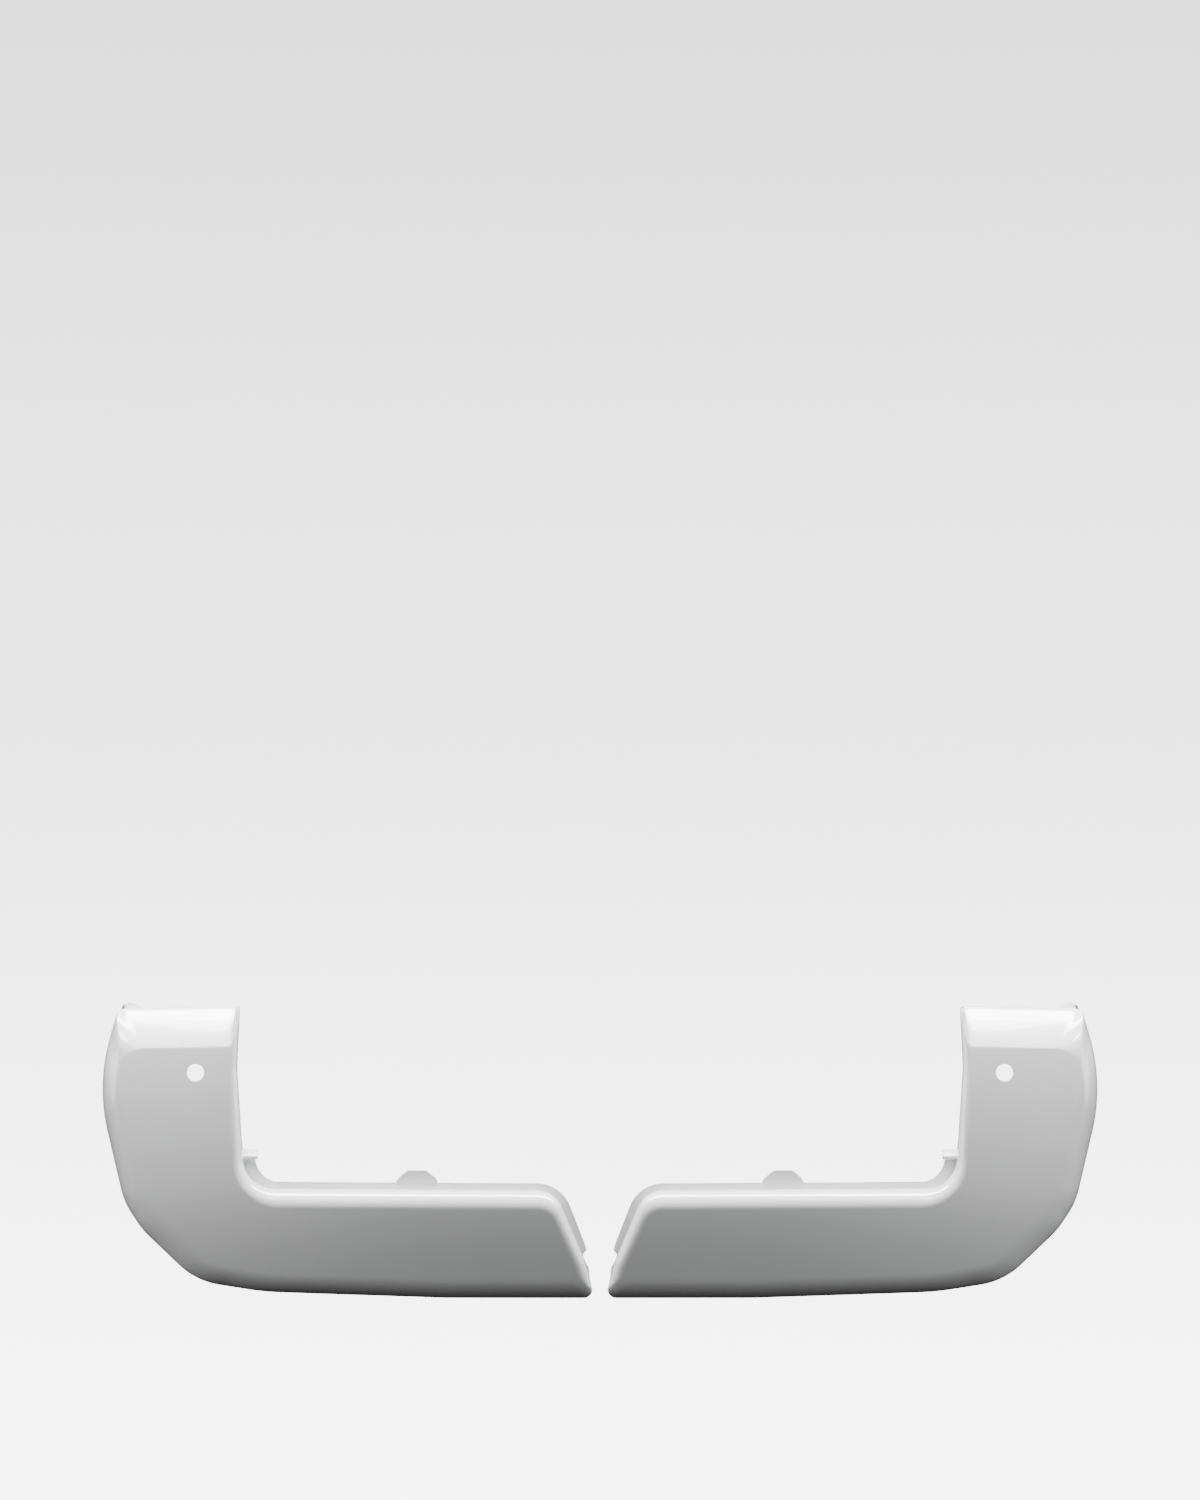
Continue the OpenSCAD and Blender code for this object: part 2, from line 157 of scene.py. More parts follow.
TURN_W, BOTTOM_RISE = 227.0, 8.0
COLUMN_X = COVER_W - COLUMN_W
APEX = (COVER_W + APEX_LOSS, COVER_H - SHOULDER_H - APEX_DROP)
FILLET_AT = (COLUMN_X - 10, BAR_H + 2)
WAIST_AT = (COLUMN_X + 1, COVER_H - SHOULDER_H - 30)


def on_turn(across, up):
    start = (COVER_W - TURN_W, BOTTOM_RISE)
    return (start[0] + (APEX[0] - start[0]) * across, start[1] + (APEX[1] - start[1]) * up)


OUTLINE = (
    Corner((-FOOT_LOSS, 0), (12, 8), 4, END, BOTTOM, (0, 0), evenly(4, 0)),
    bend((203, 0), (600, 600), 1, BOTTOM, evenly(4, 0)),
    bend(on_turn(0, 0), (400, 400), 2, BOTTOM),
    bend(on_turn(0.405, 0.05), (105, 85), 4, BOTTOM.toward(SIDE, 0.25)),
    bend(on_turn(0.722, 0.293), (120, 80), 2, BOTTOM.toward(SIDE, 0.6)),
    bend(on_turn(0.833, 0.425), (110, 60), 3, BOTTOM.toward(SIDE, 0.85), evenly(3, 0)),
    bend(APEX, (260, 30), 3, SIDE),
    Corner((COVER_W - 22, COVER_H - 4), (12, BROW_RADIUS), 6, BROW_SIDE, TOP, (0, EAR_H * 0.6),
           ((0.07, EAR_H), (0.17, 0), *((k / 6 + 0.02, 0) for k in range(2, 6)))),
    Corner((COLUMN_X - 3, COVER_H), (6, 4), 4, TOP, COLUMN_TOP, (0, 0), ()),
    bend(WAIST_AT, (100, 100), 2, COLUMN_TOP.toward(COLUMN, 0.25),
         ((0.24, 0), (0.48, 0), (0.72, 0), (0.92, 0), (0.96, LIP_H * 1.7))),
    Corner(FILLET_AT, (FILLET_RADIUS, FILLET_RADIUS + 25), 10, COLUMN, BAR,
           (LIP_H * 1.7, LIP_H), evenly(11, LIP_H)),
    Corner((END_LEAN, BAR_H), (40, 25), 6, BAR, END, (LIP_H, LIP_H * 1.1),
           end_lip()),
    bend(KNEE_AT, (40, 8), 1, END, ((0.2, LUG_H), (0.55, 0))),
)
FOOT, TURN, APEX_AT, BROW, WAIST, FILLET, END_TOP, KNEE = 0, 2, 6, 7, 9, 10, 11, 12
CORNERS = len(OUTLINE)


# ---- the outline's rings ----
def ease(t):
    return t * t * (3 - 2 * t)


def unit(v):
    return v / np.linalg.norm(v)


def left_of(v):
    return np.array([-v[1], v[0]])


def cross(a, b):
    return a[0] * b[1] - a[1] * b[0]


def turned(v, angle):
    c, s = math.cos(angle), math.sin(angle)
    return np.array([v[0] * c - v[1] * s, v[0] * s + v[1] * c])


def inward(i):
    a, b = (np.array(OUTLINE[k % CORNERS].place, float) for k in (i, i + 1))
    return left_of(unit(b - a))


def face_corners(extra):
    """The face's own corners and radii, inside the cover's by the roll and extra more."""
    places, radii = [], []
    for i, c in enumerate(OUTLINE):
        n1, n2, at = inward(i - 1), inward(i), np.array(c.place, float)
        turn = cross(n1, n2)
        d1, d2 = c.before.roll_w + extra, c.after.roll_w + extra
        if abs(turn) < 0.25:
            both = n1 + n2
            places.append(at + both * (d1 + d2) / (both @ both))
        else:
            places.append(at + np.array([d1 * n2[1] - d2 * n1[1], d2 * n1[0] - d1 * n2[0]]) / turn)
        radii.append(c.radii[1] + extra if turn < 0 else max(c.radii[1] - extra, 4))
    return places, radii


def from_foot(items):
    """The ring starts in the middle of the foot's arc."""
    turn = DETAIL * OUTLINE[FOOT].steps // 2
    return items[turn:] + items[:turn]


def ring_marks():
    """Every station of the ring, as (corner, whether on its edge, share of the way)."""
    marks = []
    for i, c in enumerate(OUTLINE):
        count = c.steps * DETAIL
        marks += [(i, False, k / count) for k in range(count)]
        shares = (0, *(share for share, _ in c.edge), 1)
        marks += [(i, True, a + (b - a) * k / DETAIL)
                  for a, b in zip(shares, shares[1:]) for k in range(DETAIL)]
    return from_foot(marks)


def ring(places, radii):
    """Places and inward normals of the stations round a list of corners."""
    places = [np.array(p, float) for p in places]
    ways = [unit(places[(i + 1) % CORNERS] - places[i]) for i in range(CORNERS)]
    turns = [math.atan2(cross(ways[i - 1], ways[i]), ways[i - 1] @ ways[i]) for i in range(CORNERS)]
    reach = [radii[i] * math.tan(abs(turns[i]) / 2) for i in range(CORNERS)]
    points, normals = [], []
    for i, on_edge, share in ring_marks():
        if on_edge:
            after = (i + 1) % CORNERS
            a, b = places[i] + ways[i] * reach[i], places[after] - ways[i] * reach[after]
            points.append(a + (b - a) * share)
            normals.append(left_of(ways[i]))
        else:
            arm = left_of(ways[i - 1]) * radii[i] * (1 if turns[i] > 0 else -1)
            hub = places[i] - ways[i - 1] * reach[i] + arm
            points.append(hub - turned(arm, turns[i] * share))
            normals.append(turned(left_of(ways[i - 1]), turns[i] * share))
    return np.array(points), np.array(normals)


def face_ring(extra):
    return ring(*face_corners(extra))[0]


def cover_ring():
    return ring([c.place for c in OUTLINE], [c.radii[0] for c in OUTLINE])


def first(i):
    """Number of a corner's first station, and of its last, in the frame's count."""
    return -OUTLINE[FOOT].steps // 2 if i == 0 else last(i - 1) + len(OUTLINE[i - 1].edge) + 1


def last(i):
    return first(i) + OUTLINE[i].steps


def lip_heights():
    lips = []
    for i, c in enumerate(OUTLINE):
        count = c.steps * DETAIL
        lips += [c.lips[0] + (c.lips[1] - c.lips[0]) * (k / count) ** 2 for k in range(count)]
        steps = (c.lips[1], *(lip for _, lip in c.edge), OUTLINE[(i + 1) % CORNERS].lips[0])
        lips += [a + (b - a) * k / DETAIL for a, b in zip(steps, steps[1:]) for k in range(DETAIL)]
    lips = np.array(from_foot(lips))
    # moulded edges run into each other softly
    return sum(np.roll(lips, k) for k in range(-2, 3)) / 5


def ring_sections():
    found = []
    for i, on_edge, share in ring_marks():
        c, after = OUTLINE[i], OUTLINE[(i + 1) % CORNERS]
        ends = (c.after, after.before) if on_edge else (c.before, c.after)
        found.append(ends[0].toward(ends[1], ease(share)))
    return found


def wall_depth(station, height, section):
    """The wall deepens up the turn to the wing, and steps back over the brow to the top."""
    if station > last(BROW):
        return section.wall_d
    if station > first(BROW):
        t = (station - first(BROW)) / OUTLINE[BROW].steps
        return WING_DEPTH + (TOP_DEPTH - WING_DEPTH) * ease(max(0.0, 2 * t - 1))
    return BOTTOM_DEPTH + (WING_DEPTH - BOTTOM_DEPTH) * ease(min(1.0, height / WING_RISE))


# ---- the face's height field ----
def crown(u, z):
    curl = UNDER_CURL * max(0.0, 1 - z / BAR_H) ** 2
    return u * u / (2 * SWEEP_RADIUS) + (z - CROWN_Z) ** 2 / (2 * CROWN_RADIUS) + curl


def lifted(p, depth):
    return (p[0], crown(p[0], p[1]) + depth, p[1])


def soft_corner(a, b, c, radius, steps=4):
    """Points that round the corner b of the path a, b, c."""
    a, b, c = (np.array(p, float) for p in (a, b, c))
    back, on = a - b, c - b
    t = min(radius, 0.42 * np.linalg.norm(back), 0.42 * np.linalg.norm(on))
    start, end = b + unit(back) * t, b + unit(on) * t
    return [start * (1 - s) ** 2 + b * 2 * s * (1 - s) + end * s * s
            for s in (k / steps for k in range(steps + 1))]


def shell_profile(section, deep, lip, softness):
    """One station's section, as (share of the roll, inset, depth)."""
    power = 2 / section.fullness
    angles = [math.pi / 2 * k / ROLL_ROWS for k in range(ROLL_ROWS + 1)]
    outer = [(math.sin(a) ** power, 0, section.roll_d * (1 - max(math.cos(a), 0) ** power))
             for a in angles]
    inner = [(f, WALL, WALL + (d / section.roll_d) * (section.roll_d - WALL)) for f, _, d in outer]
    path = [(0, section.roll_d), (0, deep - WALL - LIP_ROOT), (-lip, deep - WALL), (-lip, deep),
            (WALL, deep), (WALL, section.roll_d)]
    turns = [soft_corner(*path[k - 1:k + 2], softness) for k in range(1, 5)]
    walk = [np.array(path[0]) + (turns[0][0] - path[0]) * t for t in WALL_MARKS]
    walk += [p for turn in turns for p in turn]
    walk += [np.array(path[5]) + (turns[3][-1] - path[5]) * t for t in WALL_MARKS[::-1]]
    return outer + [(1, p[0], p[1]) for p in walk] + inner[::-1]


class Mould:
    """Vertices and faces of one cover, as drawn for the right-hand side, in millimetres."""

    def __init__(self):
        self.points, self.faces, self.inner = [], [], []

    def add(self, points):
        start = len(self.points)
        self.points += [tuple(p) for p in points]
        return list(range(start, start + len(points)))

    def band(self, a, b, closed=True, inner=False):
        """Faces between two rows of the same length."""
        count = len(a)
        for k in range(count if closed else count - 1):
            m = (k + 1) % count
            self.faces.append((a[k], a[m], b[m], b[k]))
            self.inner.append(inner)

    def cap(self, loop, inner=False):
        self.faces.append(tuple(loop))
        self.inner.append(inner)


def bore_frame():
    """Centre of the sensor hole, its inward axis and two directions across it."""
    u, z = COVER_W - SENSOR_FROM_SIDE, COVER_H - SENSOR_FROM_TOP
    axis = unit(np.array([-u / SWEEP_RADIUS, 1.0, -(z - CROWN_Z) / CROWN_RADIUS]))
    across = unit(np.cross(axis, (0, 0, 1)))
    return np.array([u, z]), axis, across, np.cross(across, axis)


def bore_ring(angles, radius, sink, depth):
    """A ring of the sensor hole, sunk along its axis from the face at that depth."""
    (u, z), axis, across, up = bore_frame()
    rows = []
    for a in angles:
        off = radius * (math.cos(a) * across + math.sin(a) * up)
        rows.append(np.array(lifted((u + off[0], z + off[2]), depth)) + axis * sink)
    return rows


def face_patch(mould, edge, edge_ids, depth, inner):
    """The face inside its rolled edge, with a round opening for the sensor."""
    along = (first(BROW) + OUTLINE[BROW].steps // 2) * DETAIL
    across = len(edge) // 2 - along
    total = len(edge)
    low = list(range(along + 1))
    high = [2 * along + across - i for i in low]
    near = [(2 * along + across + j) % total for j in range(across + 1)]
    far = [along + across - j for j in range(across + 1)]
    v = np.linspace(0, 1, across + 1)[:, None]

    def bulge(side):
        straight = edge[side[0]] + (edge[side[-1]] - edge[side[0]]) * v
        return edge[side] - straight

    rows = []
    for i in range(along + 1):
        u = i / along
        line = edge[high[i]] + (edge[low[i]] - edge[high[i]]) * v
        rows.append(line + bulge(near) * (1 - u) ** 4 + bulge(far) * u ** 4)
    grid = np.array(rows)

    # the cells round the sensor give way to rings that run in to its edge
    centre, _, right, _ = bore_frame()
    gaps = np.linalg.norm(grid - centre, axis=2)
    ci, cj = np.unravel_index(np.argmin(gaps), gaps.shape)
    clear = SENSOR_R + 5.0
    si = np.linalg.norm(grid[ci + 1, cj] - grid[ci, cj])
    sj = np.linalg.norm(grid[ci, cj + 1] - grid[ci, cj])
    hi, hj = math.ceil(clear / si) + 1, math.ceil(clear / sj) + 1
    i0, i1, j0, j1 = ci - hi, ci + hi, cj - hj, cj + hj

    ids = {}
    for i in range(along + 1):
        for j in range(across + 1):
            if j == across:
                ids[i, j] = edge_ids[low[i]]
            elif j == 0:
                ids[i, j] = edge_ids[high[i]]
            elif i == 0:
                ids[i, j] = edge_ids[near[j]]
            elif i == along:
                ids[i, j] = edge_ids[far[j]]
            elif not (i0 < i < i1 and j0 < j < j1):
                ids[i, j] = mould.add([lifted(grid[i, j], depth)])[0]
    for i in range(along):
        for j in range(across):
            if not (i0 <= i < i1 and j0 <= j < j1):
                mould.faces.append((ids[i, j], ids[i + 1, j], ids[i + 1, j + 1], ids[i, j + 1]))
                mould.inner.append(inner)

    loop = [(i, j0) for i in range(i0, i1)] + [(i1, j) for j in range(j0, j1)]
    loop += [(i, j1) for i in range(i1, i0, -1)] + [(i0, j) for j in range(j1, j0, -1)]
    rim = np.array([grid[k] for k in loop])
    angles = [math.atan2(p[1] - centre[1], (p[0] - centre[0]) * (1 if right[0] > 0 else -1))
              for p in rim]
    return loop, ids, rim, angles


def sensor_opening(mould, outer, inner, softness):
    """Rings from the face in to the hole, down its bore and out to the inner face."""
    loop, ids, rim, angles = outer
    previous = [ids[k] for k in loop]
    lip = SENSOR_R + softness
    for step in (0.3, 0.6, 0.82, 0.95, 1.0):
        ring_at = np.array([(p[0], p[2]) for p in bore_ring(angles, lip, 0, 0)])
        row = mould.add([lifted(p, 0) for p in rim + (ring_at - rim) * step])
        mould.band(previous, row)
        previous = row
    turn = [math.pi / 2 * k / 4 for k in range(1, 5)]
    sunk = [(lip - softness * math.sin(a), softness * (1 - math.cos(a))) for a in turn]
    sunk += [(SENSOR_R, WALL * 0.4), (SENSOR_R, WALL - softness)]
    sunk += [(SENSOR_R + softness * (1 - math.cos(a)), WALL - softness + softness * math.sin(a))
             for a in turn[:-1]]
    for radius, sink in sunk:
        row = mould.add(bore_ring(angles, radius, sink, 0))
        mould.band(previous, row)
        previous = row
    loop, ids, rim, _ = inner
    for step in (0.0, 0.15, 0.5, 0.8):
        ring_at = np.array([(p[0], p[2]) for p in bore_ring(angles, lip, 0, 0)])
        row = mould.add([lifted(p, WALL) for p in ring_at + (rim - ring_at) * step])
        mould.band(previous, row, inner=True)
        previous = row
    mould.band(previous, [ids[k] for k in loop], inner=True)


def inset(points, distance):
    """A convex outline moved inwards by a distance."""
    pts = [np.array(p, float) for p in points]
    area = sum(cross(pts[k - 1], pts[k]) for k in range(len(pts)))
    side = 1 if area > 0 else -1
    moved = []
    for k, p in enumerate(pts):
        a, b = unit(p - pts[k - 1]), unit(pts[(k + 1) % len(pts)] - p)
        n1, n2 = left_of(a) * side * distance, left_of(b) * side * distance
        t = cross((p + n2) - (p + n1), b) / cross(a, b)
        moved.append(p + n1 + a * t)
    return moved


def soft_prism(mould, outline, thickness, corner, softness, place):
    """A moulded block: a convex outline with rounded corners, pushed through a
    thickness, with soft edges. place turns (x, y, along) into a point."""
    turn = [math.pi / 2 * k / 4 for k in range(5)]
    near = [(softness * (1 - math.sin(a)), softness * (1 - math.cos(a))) for a in turn]
    rings = [(softness + 0.7, 0)] + near + [(d, thickness - s) for d, s in near[::-1]]
    rings += [(softness + 0.7, thickness)]
    rows = []
    for distance, along in rings:
        base = inset(outline, distance)
        count = len(base)
        points = []
        for k in range(count):
            points += soft_corner(base[k - 1], base[k], base[(k + 1) % count],
                                  max(corner - distance, 0.3))
        rows.append(mould.add([place(p[0], p[1], along) for p in points]))
    for a, b in zip(rows, rows[1:]):
        mould.band(a, b)
    mould.cap(rows[0])
    mould.cap(rows[-1])


def locating_tab(mould, softness):
    """The six-sided tab that stands above the lip, square to the face's sweep."""
    foot, top, half = BAR_H + 2 + LIP_H / 2, BAR_H + 2 + LIP_H + TAB_H, TAB_W / 2
    outline = [(-half, foot), (half, foot), (half, top - TAB_H), (half * 0.93, top - TAB_H * 0.7),
               (half * 0.45, top), (-half * 0.45, top), (-half * 0.93, top - TAB_H * 0.7),
               (-half, top - TAB_H)]
    angle = math.atan(TAB_PLACE / SWEEP_RADIUS)
    base = lifted((TAB_PLACE, foot), LEDGE_DEPTH + TAB_PROUD)
    thick = WALL + 2 * TAB_PROUD

    def place(x, z, along):
        back = along - thick
        return (base[0] + x * math.cos(angle) - back * math.sin(angle),
                base[1] + x * math.sin(angle) + back * math.cos(angle), z)
    soft_prism(mould, outline, thick, 2.0, softness, place)


def corner_hook(mould, softness):
    """The hook where the lip leaves the column, with its sloped top."""
    root = (FILLET_AT[0] + (WAIST_AT[0] - FILLET_AT[0]) * 0.3, FILLET_AT[1] + FILLET_RADIUS + 1)
    base = lifted(root, LEDGE_DEPTH)
    outline = [(0, -HOOK_FOOT), (-HOOK_RUN, -HOOK_FOOT), (-HOOK_RUN, 0), (-WALL, HOOK_H),
               (0, HOOK_H)]

    def place(y, z, along):
        return (base[0] - (HOOK_W - WALL) + along, base[1] + y, base[2] + z)
    soft_prism(mould, outline, HOOK_W, 2.5, softness * 1.6, place)


def shell_mould(softness):
    """The whole moulding: rolled edge, face, sensor hole, tab and hook."""
    mould = Mould()
    rim, normals = cover_ring()
    edge, sections, lips = face_ring(0), ring_sections(), lip_heights()
    profiles = []
    for k in range(len(rim)):
        deep = wall_depth(k / DETAIL, rim[k][1], sections[k])
        profiles.append(shell_profile(sections[k], deep, lips[k], softness))
    rows = []
    for r in range(len(profiles[0])):
        points = []
        for k in range(len(rim)):
            share, off, depth = profiles[k][r]
            outer = rim[k] + normals[k] * off
            points.append(lifted(edge[k] + (outer - edge[k]) * share, depth))
        rows.append(mould.add(points))
    turned_in = len(rows) - (ROLL_ROWS + 1) - len(WALL_MARKS)
    for r, (a, b) in enumerate(zip(rows, rows[1:])):
        mould.band(a, b, inner=r >= turned_in)
    outer = face_patch(mould, edge, rows[0], 0, False)
    inner = face_patch(mould, edge, rows[-1], WALL, True)
    sensor_opening(mould, outer, inner, softness)
    locating_tab(mould, softness)
    corner_hook(mould, softness)
    return mould


# ---- tape runs and liners ----
RUN_SPANS = {
    "bar_lower": (last(FOOT) + 1, first(TURN), True),
    "sweep": (first(TURN + 1), last(APEX_AT - 1), True),
    "side": (last(APEX_AT - 1) + 1, first(BROW), False),
    "shoulder": (last(BROW), first(BROW + 1), False),
    "column": (last(WAIST), first(FILLET), True),
    "bar_upper": (last(FILLET), first(END_TOP), False),
    "end": (last(END_TOP), first(KNEE) - 1, True),
}


def run_edges(run, over):
    """Outer and inner edge of a run, drawn from the end without the pull tab."""
    start, end, tab_last = RUN_SPANS[run]
    span = list(range(start * DETAIL, end * DETAIL + 1))
    outer = face_ring(TAPE_MARGIN - over)[span]
    inner = face_ring(TAPE_MARGIN + TAPE_W + over)[span]
    return (outer, inner) if tab_last else (outer[::-1], inner[::-1])


def strip_mould(outer, inner, depths, thickness, soft, insets):
    """A strip between two edges: a rounded section at each place, and closed ends."""
    mould = Mould()
    rows = []
    for a, b, depth, short in zip(outer, inner, depths, insets):
        width = np.linalg.norm(b - a)
        way = (b - a) / width
        s = min(soft, thickness * 0.45)
        marks = [(short, s), (short + s * 0.3, s * 0.3), (short + s, 0)]
        marks += [(short + s + (width - 2 * short - 2 * s) * t, 0) for t in (0.12, 0.5, 0.88)]
        marks += [(width - short - s, 0), (width - short - s * 0.3, s * 0.3), (width - short, s)]
        marks += [(w, thickness - d) for w, d in marks[::-1]]
        rows.append(mould.add([lifted(a + way * w, depth + d) for w, d in marks]))
    for a, b in zip(rows, rows[1:]):
        mould.band(a, b)
    mould.cap(rows[0])
    mould.cap(rows[-1])
    return mould


def tape_mould(run):
    """A run of foam tape, whose cut edges bulge a little. Its ends lie on stations of the
    outline, as the frame's do, so near a corner an end is cut at a slant."""
    outer, inner = run_edges(run, 0)
    count = len(outer)
    return strip_mould(outer, inner, [WALL + BOND] * count, TAPE_T, 0.35, [0.0] * count)


def liner_mould(run, curl):
    """A release liner, whose pull tab curls off the tape at its end."""
    outer, inner = run_edges(run, LINER_OVER)
    base = WALL + BOND + TAPE_T + LINER_GAP
    way = unit((outer[-1] + inner[-1]) - (outer[-2] + inner[-2]))
    steps, corner = 14, 3.0
    reaches = [PULL_TAB * k / steps for k in range(1, steps + 1)]
    tab_outer = [outer[-1] + way * r for r in reaches]
    tab_inner = [inner[-1] + way * r for r in reaches]
    depths = [base] * len(outer) + [base + curl * (r / PULL_TAB) ** 2 for r in reaches]
    insets = [0.0] * len(outer)
    for r in reaches:
        past = max(0.0, r - (PULL_TAB - corner))
        insets.append(corner - math.sqrt(max(corner ** 2 - past ** 2, 0.02)) if past else 0.0)
    return strip_mould(np.vstack([outer, tab_outer]), np.vstack([inner, tab_inner]),
                       depths, LINER_T, 0.05, insets)


# ---- pieces ----
def make_piece(name, mould, side, materials, body, node):
    """Turns a mould into a mesh on one side of the pair, riding on its CAD body."""
    points = np.array(mould.points, float)
    points[:, 0] += PAIR_GAP / 2
    points[:, 1] += SHIFT
    points[:, 0] *= SIDES[side]
    mesh = bpy.data.meshes.new(name)
    mesh.from_pydata((points * MM).tolist(), [], mould.faces)
    for material in materials:
        mesh.materials.append(material)
    if len(materials) > 1:
        mesh.polygons.foreach_set("material_index", [int(i) for i in mould.inner])
    bm = bmesh.new()
    bm.from_mesh(mesh)
    bmesh.ops.recalc_face_normals(bm, faces=bm.faces)
    for f in bm.faces:
        f.smooth = True
    for e in bm.edges:
        e.smooth = not (e.is_manifold and e.calc_face_angle(0) > CREASE)
    bm.to_mesh(mesh)
    bm.free()
    piece = bpy.data.objects.new(name, mesh)
    bpy.context.scene.collection.objects.link(piece)
    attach(piece, body)
    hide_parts(node)
    return piece


def must_match(piece, node, tolerance):
    """Stops the build if a piece has left the place of the CAD node it stands for."""
    low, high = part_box(node)
    own = np.array([v.co for v in piece.data.vertices])
    off = max(np.abs(own.min(0) - low).max(), np.abs(own.max(0) - high).max())
    if off > tolerance:
        raise RuntimeError(f"{piece.name} is {off / MM:.1f} mm away from {node}")


def drawn_depth():
    """How far back the cover reaches as drawn, at the far edge of its wing."""
    rim, _ = cover_ring()
    return max(crown(u, z) + WING_DEPTH for u, z in rim if u > COVER_W * 0.9 and z > WING_RISE)


# the frame's origin is mid-depth, so the drawn cover moves by this much to meet it
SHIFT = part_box("right_skin")[1][1] / MM - drawn_depth()


# ---- materials ----
def linear(hex_colour):
    """An sRGB hex colour as linear RGB."""
    values = [int(hex_colour[k:k + 2], 16) / 255 for k in (1, 3, 5)]
    return tuple(v / 12.92 if v <= 0.04045 else ((v + 0.055) / 1.055) ** 2.4 for v in values)


def add_node(tree, kind, settings=None, **links):
    """Adds a node. Settings are its own fields, or inputs by name, and links join
    an input, by name, to another node's output."""
    made = tree.nodes.new(kind)
    for key, value in (settings or {}).items():
        if key in made.inputs:
            made.inputs[key].default_value = value
        else:
            setattr(made, key, value)
    for key, output in links.items():
        tree.links.new(output, made.inputs[key.replace("_", " ")])
    return made


def new_material(name, settings):
    """A material with an empty tree but for its shader and its output."""
    material = bpy.data.materials.new(name)
    material.use_nodes = True
    tree = material.node_tree
    tree.nodes.clear()
    shader = add_node(tree, "ShaderNodeBsdfPrincipled", settings)
    add_node(tree, "ShaderNodeOutputMaterial", Surface=shader.outputs[0])
    return material, tree, shader


def two_tone(tree, shader, place, size, colours, contrast=(0.4, 0.6), detail=3.0):
    """Colour that drifts between two tones over patches of a real size."""
    noise = add_node(tree, "ShaderNodeTexNoise", {"Scale": 1 / size, "Detail": detail},
                     Vector=place)
    ramp = add_node(tree, "ShaderNodeValToRGB", Fac=noise.outputs[0])
    for element, at, colour in zip(ramp.color_ramp.elements, contrast, colours):
        element.position, element.color = at, (*colour, 1)
    tree.links.new(ramp.outputs[0], shader.inputs["Base Color"])


def painted_abs(look):
    """Gloss white paint over moulded ABS: a bright clear coat, with the faint
    orange peel of sprayed lacquer and a trace of handling haze."""
    material, tree, shader = new_material("gloss_white_painted_abs", {
        "Roughness": 0.22, "IOR": 1.5, "Coat Weight": 1.0, "Coat Roughness": 0.03, "Coat IOR": 1.5})
    place = add_node(tree, "ShaderNodeTexCoord").outputs["Object"]
    white = tuple(look.white)
    two_tone(tree, shader, place, 0.12, (tuple(c * 0.985 for c in white), white), (0.3, 0.7))
    # sprayed lacquer's peel has waves of a few millimetres
    peel = add_node(tree, "ShaderNodeTexNoise", {"Scale": 1 / look.peel_size, "Detail": 2.0},
                    Vector=place)
    bump = add_node(tree, "ShaderNodeBump", {"Strength": 0.12, "Distance": look.peel_depth},
                    Height=peel.outputs[0])
    tree.links.new(bump.outputs[0], shader.inputs["Normal"])
    haze = add_node(tree, "ShaderNodeTexNoise", {"Scale": 1 / 0.06, "Detail": 4.0}, Vector=place)
    handled = add_node(tree, "ShaderNodeMapRange", {"To Min": 0.19, "To Max": 0.27},
                       Value=haze.outputs[0])
    tree.links.new(handled.outputs[0], shader.inputs["Roughness"])
    return material


def bare_abs():
    """White ABS as it leaves the mould, unpainted on the inside: a satin face with
    a fine spark-eroded grain and the grey of thin overspray."""
    material, tree, shader = new_material("moulded_white_abs", {"Roughness": 0.5, "IOR": 1.53})
    place = add_node(tree, "ShaderNodeTexCoord").outputs["Object"]
    two_tone(tree, shader, place, 0.05, (linear("#CFD1D2"), linear("#DCDEDF")))
    # the real grain is 0.1 mm, and is drawn ten times as coarse so that it shows
    grain = add_node(tree, "ShaderNodeTexNoise", {"Scale": 1 / 0.001, "Detail": 2.0}, Vector=place)
    bump = add_node(tree, "ShaderNodeBump", {"Strength": 0.25, "Distance": 0.0001},
                    Height=grain.outputs[0])
    tree.links.new(bump.outputs[0], shader.inputs["Normal"])
    return material


def acrylic_foam(look):
    """Dark grey closed-cell acrylic foam: dull, with pores that catch a little light."""
    material, tree, shader = new_material("acrylic_foam_tape", {"Roughness": 0.85, "IOR": 1.49})
    place = add_node(tree, "ShaderNodeTexCoord").outputs["Object"]
    grey = tuple(look.foam_grey)
    two_tone(tree, shader, place, 0.004, (tuple(c * 0.6 for c in grey), grey), (0.35, 0.65), 5.0)
    cells = add_node(tree, "ShaderNodeTexVoronoi", {"Scale": 1 / look.cell_size}, Vector=place)
    bump = add_node(tree, "ShaderNodeBump", {"Strength": 0.6, "Distance": 0.0003},
                    Height=cells.outputs[0])
    tree.links.new(bump.outputs[0], shader.inputs["Normal"])
    return material


